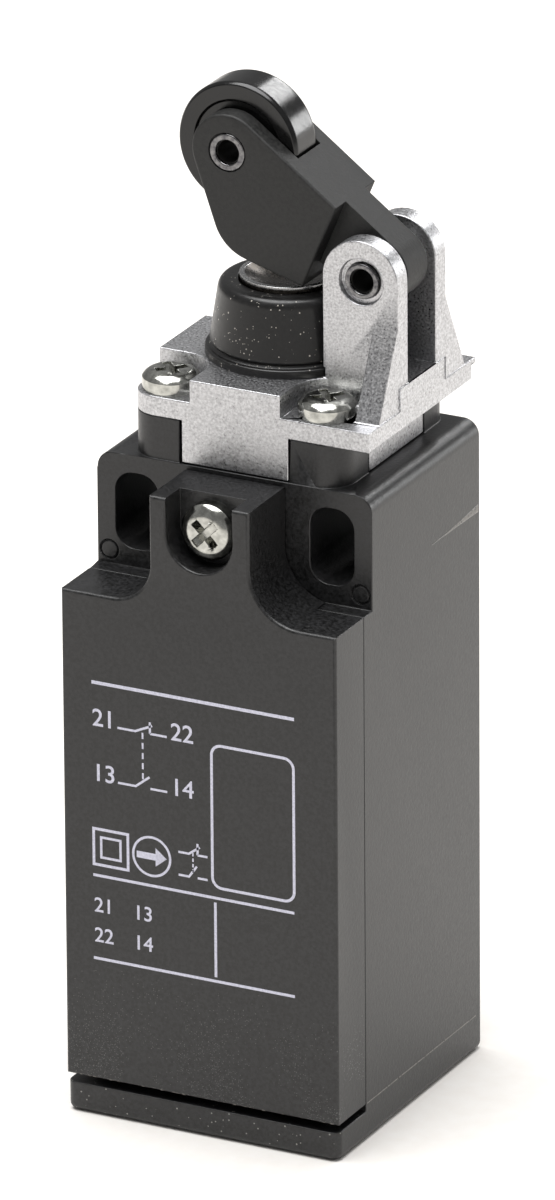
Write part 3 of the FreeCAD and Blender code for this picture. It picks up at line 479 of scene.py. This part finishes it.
def bore_shadow_sleeve(half):
    """The wall of a thin dark sleeve inside a rivet's bore, a painted shadow in the hole,
    closed:
    it stops short of both ends and reaches a hundredth of a millimetre into the rivet's wall."""
    inner, outer = RIVET_BORE - 0.1, RIVET_BORE + 0.01
    return np.array([(inner, -half), (outer, -half), (outer, half), (inner, half)])


settled(skinned("roller_rivet_bore_shadow", [swung(bore_shadow_sleeve(4.2), ROLLER_AXIS, "Y", 64)]),
        "lever", oiled)
settled(skinned("pivot_rivet_bore_shadow", [swung(bore_shadow_sleeve(5.0), PIVOT, "Y", 64)]),
        "switch_body", oiled)
print("roller and two rivets made")

# %% [markdown]
# ## The plunger
# A steel stem with a wider cap and, low down, a groove for its clip. The cap's top is a
# shallow dish with a bright rim, which the lever presses. The dish is part of a sphere.

# %% Make the plunger
DISH_RADIUS, DISH_DEPTH, PLUNGER_TOP = 4.45, 1.1, 87.0
sphere = (DISH_RADIUS ** 2 + DISH_DEPTH ** 2) / (2 * DISH_DEPTH)
across = np.linspace(DISH_RADIUS - 0.08, 0, 24)
dish = np.stack([across, PLUNGER_TOP - DISH_DEPTH + sphere
                 - np.sqrt(sphere ** 2 - across ** 2)], 1)
stem = eased([(0, 68.0, 0), (4.0, 68.0, 0.3), (4.0, 71.1, 0.02), (3.4, 71.1, 0.02),
              (3.4, 71.95, 0.02), (4.0, 71.95, 0.02), (4.0, 84.4, 0.1), (4.9, 84.4, 0.1),
              (4.9, PLUNGER_TOP, 0.16), (DISH_RADIUS, PLUNGER_TOP, 0.01)])
# The plunger's steel is darkened, a painted shade for its shaded dish; the bright rim is a
# separate ring of turned steel.
settled(skinned("steel_plunger", [swung(np.vstack([stem, dish]), HEAD_AXIS)]),
        "plunger", painted_shade_steel, ["plunger"])
rim = eased([(4.4, 86.7, 0.02), (4.94, 86.7, 0.02), (4.94, PLUNGER_TOP + 0.02, 0.1),
             (4.4, PLUNGER_TOP + 0.02, 0.1)])
settled(skinned("plunger_rim", [swung(rim, HEAD_AXIS)]), "plunger",
        turned_steel)
print("dish: sphere radius", round(sphere, 2), "mm")

# %% [markdown]
# ## The springs
# A wound spring is a circle of wire carried along a helix. The two ends of each spring
# sit on different parts of the switch; each spring here is one fixed mesh.

# %% Wind the two long springs
STEPS_A_TURN, WIRE_STEPS = 40, 12


def wound(radius, wire, low, high, turns):
    """A helix (R cos a, R sin a, rise) plus a wire circle in its radial plane. The first
    and last rows shrink to a point, which closes the ends."""
    angle = np.linspace(0, 2 * np.pi * turns, int(turns * STEPS_A_TURN))[:, None]
    round_wire = np.linspace(0, 2 * np.pi, WIRE_STEPS, endpoint=False)[None, :]
    thick = np.full_like(angle, wire)
    thick[[0, -1]] = 0
    out = radius + thick * np.cos(round_wire)
    rise = low + wire + (high - low - 2 * wire) * angle / angle[-1]
    return np.stack([out * np.cos(angle), out * np.sin(angle) + PLUNGER_Y,
                     rise + thick * np.sin(round_wire)], -1)


def spring(name, node, radius, wire, low, high, turns):
    """A spring of spring wire in place of its CAD node, fixed where it was wound."""
    piece = settled(skinned(name, [wound(radius, wire, low, high, turns)]),
                    None, spring_wire, [node])
    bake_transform(piece)
    return piece


boot_spring = spring("boot_spring", "plunger_spring", 4.7, 0.3, 80.5, 84.4, 3.5)
spring("carrier_spring", "return_spring", 2.4, 0.35, 25.7, 32.0, 4)
print("boot spring:", len(boot_spring.data.vertices), "points")

# %% [markdown]
# ## Marks on the cover
# The cover is pad printed: rules that divide it into fields, an empty frame, the sign for
# double insulation, the arrow of a contact that is forced open, and a plain diagram with
# the numbers of the four terminals. Every line is a flat ribbon of ink, two hundredths of
# a millimetre proud, carried along its path with mitred corners.

# %% Ribbons of ink
FRONT = -16.5
INK, SUNK = 0.02, 0.01


def ribbon(path, width, closed=False):
    """A ribbon along (x, z) points on the cover: each point moves sideways along the mean
    of its two segments' normals, longer at a corner so that the width stays."""
    path = np.array(path, float)
    run = np.diff(np.vstack([path, path[:1]]), axis=0)
    length = np.maximum(np.linalg.norm(run, axis=1, keepdims=True), 1e-9)
    normal = np.stack([-run[:, 1], run[:, 0]], 1) / length
    before = np.roll(normal, 1, axis=0)
    if not closed:
        normal[-1], before[0] = before[-1], normal[0]
    side = (normal + before) / (1 + (normal * before).sum(1, keepdims=True)) * width / 2
    depth = np.array([SUNK, SUNK, -INK, -INK])
    swing = np.array([-1, 1, 1, -1])
    flat = path[:, None] + side[:, None] * swing[None, :, None]
    y = np.broadcast_to(FRONT + depth, flat.shape[:2])
    grid = np.stack([flat[..., 0], y, flat[..., 1]], -1)
    return grid if closed else capped(grid)


def circle(x, z, radius, steps=72, start=0.0, sweep=360.0):
    """Points of an arc: centre plus radius times (cos a, sin a)."""
    angle = np.radians(start + np.linspace(0, sweep, steps, endpoint=sweep < 360))
    return np.stack([x + radius * np.cos(angle), z + radius * np.sin(angle)], 1)


def rounded_box(x0, z0, x1, z1, radius):
    """Four quarter arcs, one in each corner, joined by straight sides."""
    corners = [(x1 - radius, z1 - radius, 0), (x0 + radius, z1 - radius, 90),
               (x0 + radius, z0 + radius, 180), (x1 - radius, z0 + radius, 270)]
    return np.vstack([circle(x, z, radius, 9, turn, 90) for x, z, turn in corners])


def square(x, z, half):
    """The four corners of a square."""
    return [(x - half, z - half), (x + half, z - half), (x + half, z + half),
            (x - half, z + half)]


print("ink stands", INK, "mm proud of the cover")

# %% Rules, frame and signs
RULE = 0.3
ARROW_Z, HEAD_START, HEAD_WIDTH, HEAD_STEP, HEAD_STROKE = 29.8, -4.94, 1.9, 0.1, 0.11
marks = [
    ribbon([(-12.1, 47.7), (10.8, 47.7)], 0.36),
    ribbon([(-12.15, 26.6), (10.7, 26.6)], RULE),
    ribbon([(-12.2, 17.45), (10.7, 17.45)], RULE),
    ribbon([(1.75, 17.9), (1.75, 26.1)], RULE),
    ribbon(rounded_box(1.45, 27.75, 10.7, 43.3, 1.1), RULE, closed=True),
    ribbon(square(-10.1, 29.75, 1.95), 0.3, closed=True),
    ribbon(square(-10.1, 29.75, 1.1), 0.26, closed=True),
    ribbon(circle(-5.45, 29.8, 2.1), 0.26, closed=True),
    ribbon([(-7.15, ARROW_Z), (-5.0, ARROW_Z)], 0.72),
    ribbon([(-5.0, ARROW_Z), (HEAD_START, ARROW_Z)], 2.0),
]
for i, share in enumerate(np.linspace(0.96, 0.02, 12)):
    start = HEAD_START + HEAD_STEP * i
    marks.append(ribbon([(start, ARROW_Z), (start + HEAD_STROKE, ARROW_Z)],
                        HEAD_WIDTH * share))
print(len(marks), "ribbons so far")

# %% [markdown]
# ## The contact diagram
# Two contacts are drawn as every wiring diagram draws them. The one numbered 21-22 is
# closed at rest and the one numbered 13-14 is open, and a dashed line links their blades
# because one plunger moves both. A small copy of it sits by the signs.

# %% Draw the diagram
WIRE_LINE = 0.24
BLADE_FROM, BLADE_TO = 0.36, 0.66


def contact(x0, x1, z, closed_at_rest):
    """A lead, a slanting blade, a lead, and a hook where the closed blade rests. The two
    leads end at fixed shares of the way from x0 to x1."""
    a, b = x0 + (x1 - x0) * BLADE_FROM, x0 + (x1 - x0) * BLADE_TO
    rise = 0.9 if closed_at_rest else 1.25
    tip = b + 0.25 if closed_at_rest else b - 0.1
    strokes = [ribbon([(x0, z), (a, z), (tip, z + rise)], WIRE_LINE),
               ribbon([(b, z), (x1, z)], WIRE_LINE)]
    if closed_at_rest:
        strokes.append(ribbon([(b, z), (b, z + rise + 0.35)], WIRE_LINE))
    return strokes


def dashes(x, low, high, count, width):
    """Short strokes on one upright line: a dash fills six tenths of its share."""
    share = (high - low) / count
    return [ribbon([(x, low + i * share), (x, low + (i + 0.6) * share)], width)
            for i in range(count)]


marks += contact(-9.2, -3.6, 43.2, True) + contact(-9.2, -3.6, 37.2, False)
marks += dashes(-6.35, 38.1, 43.6, 5, 0.2)
marks += contact(-2.4, 0.9, 30.9, True) + contact(-2.4, 0.9, 28.4, False)
marks += dashes(-0.75, 28.9, 31.3, 4, 0.16)
print(len(marks), "ribbons with the diagrams")

# %% [markdown]
# ## Terminal numbers
# Numbers are easiest as text objects. Each is made a mesh first and only then placed, so
# the finished piece still sits at the origin.

# %% Set the numbers
FONT_SIZE, BOLDER = 1.4, 0.012


def number(text, x, z, height):
    """A mesh of a number whose lower left corner is at (x, z) on the cover: text lies in
    the XY plane, so it is turned a quarter about X to stand up. FONT_SIZE and BOLDER are
    the size and the thickening for digits one unit high."""
    curve = bpy.data.curves.new("number", "FONT")
    curve.body, curve.size = text, height * FONT_SIZE * MM
    curve.extrude, curve.offset = (INK + SUNK) / 2 * MM, BOLDER * height * MM
    shown = bpy.data.objects.new("number", curve)
    bpy.context.scene.collection.objects.link(shown)
    bpy.context.view_layer.update()
    data = bpy.data.meshes.new_from_object(
        shown.evaluated_get(bpy.context.evaluated_depsgraph_get()))
    bpy.data.objects.remove(shown)
    lift = (FRONT + SUNK - (INK + SUNK) / 2) * MM
    data.transform(Matrix.Translation((x * MM, lift, z * MM))
                   @ Matrix.Rotation(math.pi / 2, 4, "X"))
    return data


printed = bmesh.new()
printed.from_mesh(skinned("ink_lines", marks))
NUMBERS = [("21", -12.1, 43.0, 1.9), ("22", -3.2, 43.0, 1.9), ("13", -12.1, 37.0, 1.9),
           ("14", -3.2, 37.0, 1.9), ("21", -12.1, 22.6, 1.6), ("22", -12.1, 19.3, 1.6),
           ("13", -7.6, 22.6, 1.6), ("14", -7.6, 19.3, 1.6)]
for text, x, z, height in NUMBERS:
    printed.from_mesh(number(text, x, z, height))
bmesh.ops.remove_doubles(printed, verts=printed.verts, dist=WELD)
ink_mesh = bpy.data.meshes.new("terminal_marks")
printed.to_mesh(ink_mesh)
printed.free()
settled(ink_mesh, "cover", ink)
print("ink mesh:", len(ink_mesh.polygons), "faces")

# %% [markdown]
# ## Traces of the mould
# A moulding shows how it was made: a flow mark where the plastic met behind the slot, a
# small ring of flash by the shoulder, burrs along the cover's lower edge, and a seam on
# each side where the mould closed. They are tiny, but they catch the light. The flow mark,
# the burrs and the seams are real marks, coloured a pale grey as a painted highlight for
# the light they catch.

# %% Flow mark and flash
SIDE = 15.5
FLOW_Y, FLOW_LENGTH, FLOW_Z, FLOW_RISE = 5.05, 10.6, 59.6, 0.3
THIN, THICKER, WIDER, SWELL = 0.02, 0.06, 0.42, 1.6
# Painted highlight: the flow mark, burrs and seams are real marks, coloured pale for the light
# they catch.
pale_painted_highlight = finish("glass-filled nylon, pale as painted highlight", "#4B4946", "#7D7973", grain=0.35,
                 rough=(0.25, 0.4), relief=0.01, IOR=1.53)
along = np.linspace(0, 1, 24)[:, None]
round_it = np.linspace(0, 2 * math.pi, 12, endpoint=False)[None]
half = THIN + WIDER * along ** SWELL
flow = np.stack([SIDE + (THIN + THICKER * along) * np.sin(round_it),
                 FLOW_Y + FLOW_LENGTH * along + 0 * round_it,
                 FLOW_Z + FLOW_RISE * along ** SWELL + half * np.cos(round_it)], -1)
settled(skinned("flow_mark", [capped(flow)]), "switch_body", pale_painted_highlight)
flash = eased([(0.42, 57.2, 0.02), (0.42, 57.34, 0.04), (0.6, 57.34, 0.04), (0.6, 57.2, 0.02)])
settled(skinned("flash_ring", [swung(flash, (11.8, -15.3, 0), "Z", 32)]),
        "cover", body_nylon)
print("flow mark:", len(flow), "rows; flash ring at the shoulder")

# %% Burrs and seams
cover_points = np.array([v.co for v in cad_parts["cover"].data.vertices]) / MM
slit = cover_points[cover_points[:, 1] < FRONT + 0.1, 2].min()
BURRS, REACH, BURR_Y, BURR_LIFT, BEAD = 34, 15.2, -16.36, 0.05, (0.06, 0.14)
SEAM_FROM, SEAM_TO, SEAM_Z, SEAM_PROUD, SEAM_HALF = -10.0, 14.9, 4.05, 0.03, 0.07


def beads(middles, sizes):
    """Small egg-shaped beads: every middle plus size times (cos a cos b, sin a cos b,
    sin b), for the longitude a and the latitude b."""
    a = np.linspace(0, 2 * math.pi, 8, endpoint=False)
    b = np.linspace(-math.pi / 2, math.pi / 2, 6)[:, None]
    ball = np.stack([np.cos(a) * np.cos(b), np.sin(a) * np.cos(b),
                     np.sin(b) + 0 * a], -1)
    return [middle + ball * size for middle, size in zip(middles, sizes)]


draw = np.random.default_rng(16)
middles = np.stack([draw.uniform(-REACH, REACH, BURRS), np.full(BURRS, BURR_Y),
                    np.full(BURRS, slit + BURR_LIFT)], 1)
sizes = draw.uniform(*BEAD, (BURRS, 1)) * np.array([2.0, 1.0, 1.0])
# The burrs and the seams below take the pale colour, a painted highlight.
settled(skinned("slit_burrs", beads(middles, sizes)), "cover", pale_painted_highlight)
run = np.linspace(SEAM_FROM, SEAM_TO, 2)[:, None]
turn_round = np.linspace(0, 2 * math.pi, 8, endpoint=False)[None]
seams = []
for side in (1, -1):
    seams.append(capped(np.stack([side * SIDE + SEAM_PROUD * np.sin(turn_round) + 0 * run,
                                  run + 0 * turn_round,
                                  SEAM_Z + SEAM_HALF * np.cos(turn_round) + 0 * run], -1)))
settled(skinned("mould_seams", seams), "switch_body", pale_painted_highlight)
print(BURRS, "burrs and", len(seams), "seams; slit top at", round(float(slit), 2), "mm")

# %% [markdown]
# ## Paint what is left of the CAD
# The parts inside, and the small ones that show only at their edges, keep their CAD
# meshes and only get a finish. A CAD part that a piece above stands for is out of sight,
# and gets a finish of the same kind.

# %% Finishes for the CAD parts
CAD_FINISHES = {
    body_nylon: ["housing"],
    cover_nylon: ["cover"],
    lever_nylon: ["lever"],
    roller_acetal: ["roller"],
    block_resin: ["contact_base", "contact_lid"],
    carrier_resin: ["contact_carrier"],
    boot_rubber: ["plunger_boot"],
    seal_rubber: ["cover_gasket", "head_gasket"],
    zinc: ["head_body"],
    plated: ["cover_screw", "head_screws", "terminal_screws", "block_screws", "clamp_plates"],
    turned_steel: ["plunger", "plunger_clip", "lever_washers"],
    painted_shade_rivet_steel: ["roller_pin", "lever_pin"],
    spring_wire: ["plunger_spring", "return_spring", "nc_contact_spring",
                  "no_contact_spring"],
    bronze: ["plunger_bush"],
    brass: ["nc_terminals", "no_terminals", "nc_bridge", "no_bridge"],
    silver: ["moving_contacts", "fixed_contacts"],
}
for skin, names in CAD_FINISHES.items():
    for name in names:
        paint(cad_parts[name], skin)
print(len(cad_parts), "CAD parts have a finish")

# %% [markdown]
# ## Floor, light and camera
# A large pale floor and a dim white sky give black plastic something to reflect: its side
# picks up the floor at a low angle and turns grey, while the front stays dark. A wide soft
# lamp overhead does most of the lighting, and a strip and a card behind the switch draw
# the bright lines on edges, screws and roller. The camera is a long lens from a metre and
# a half.

# %% Floor and sky
FLOOR_HALF, FLOOR_DROP, SKY_STRENGTH = 2.0, 0.05 * MM, 0.3
floor_mesh = bpy.data.meshes.new("floor")
floor_mesh.from_pydata([(x * FLOOR_HALF, y * FLOOR_HALF, 0) for x, y in
                        ((-1, -1), (1, -1), (1, 1), (-1, 1))], [], [(0, 1, 2, 3)])
floor = bpy.data.objects.new("floor", floor_mesh)
floor.location.z = -FLOOR_DROP
bpy.context.scene.collection.objects.link(floor)
paint(floor, finish("pale paper", "#F8F4EF", "#FBF8F4", grain=2.0, rough=(0.9, 0.95)))
sky = bpy.data.worlds.new("studio")
bpy.context.scene.world = sky
sky.use_nodes = True
sky.node_tree.nodes["Background"].inputs["Color"].default_value = srgb("#FFFFFF")
sky.node_tree.nodes["Background"].inputs["Strength"].default_value = SKY_STRENGTH
bpy.context.scene.view_settings.view_transform = "Standard"
print("floor is", 2 * FLOOR_HALF, "m wide")

# %% Lamps
def lamp(name, place, aim, size, power):
    """A rectangular soft lamp that looks at a point."""
    data = bpy.data.lights.new(name, "AREA")
    data.shape, data.size, data.size_y, data.energy = "RECTANGLE", size[0], size[1], power
    made = bpy.data.objects.new(name, data)
    made.location = place
    made.rotation_mode = "QUATERNION"
    made.rotation_quaternion = (Vector(aim) - Vector(place)).to_track_quat("-Z", "Y")
    bpy.context.scene.collection.objects.link(made)


SWITCH_MIDDLE = (0.0, 0.0, 0.06)
lamp("soft ceiling", (-0.1, -0.1, 1.1), SWITCH_MIDDLE, (0.9, 0.9), 17.5)
lamp("strip behind", (0.12, 0.83, 0.62), SWITCH_MIDDLE, (0.5, 0.12), 2.4)
lamp("card at the right", (0.6, 0.92, 0.2), SWITCH_MIDDLE, (0.22, 0.3), 1.8)
print("three lamps placed")

# %% The camera
AZIMUTH, ELEVATION, ROLL = (math.radians(v) for v in (27.121, 21.856, -0.402))
DISTANCE, LENS, SENSOR = 1.50939, 447.23, 36.0
AIM_RIGHT, AIM_UP = 0.519 * MM, 52.747 * MM
back = Vector((math.sin(AZIMUTH) * math.cos(ELEVATION),
               -math.cos(AZIMUTH) * math.cos(ELEVATION), math.sin(ELEVATION)))
right = Vector((math.cos(AZIMUTH), math.sin(AZIMUTH), 0))
up = back.cross(right)
aim = right * AIM_RIGHT + Vector((0, 0, AIM_UP))
rolled_right = right * math.cos(ROLL) + up * math.sin(ROLL)
rolled_up = up * math.cos(ROLL) - right * math.sin(ROLL)
turn = Matrix((rolled_right, rolled_up, back)).transposed().to_4x4()
lens = bpy.data.cameras.new("long lens")
lens.lens, lens.sensor_width, lens.sensor_fit = LENS, SENSOR, "AUTO"
lens.clip_start, lens.clip_end = 0.05, 20.0
camera = bpy.data.objects.new("camera", lens)
camera.matrix_world = Matrix.Translation(aim + back * DISTANCE) @ turn
bpy.context.scene.collection.objects.link(camera)
bpy.context.scene.camera = camera
print("camera at", [round(v, 3) for v in camera.location])
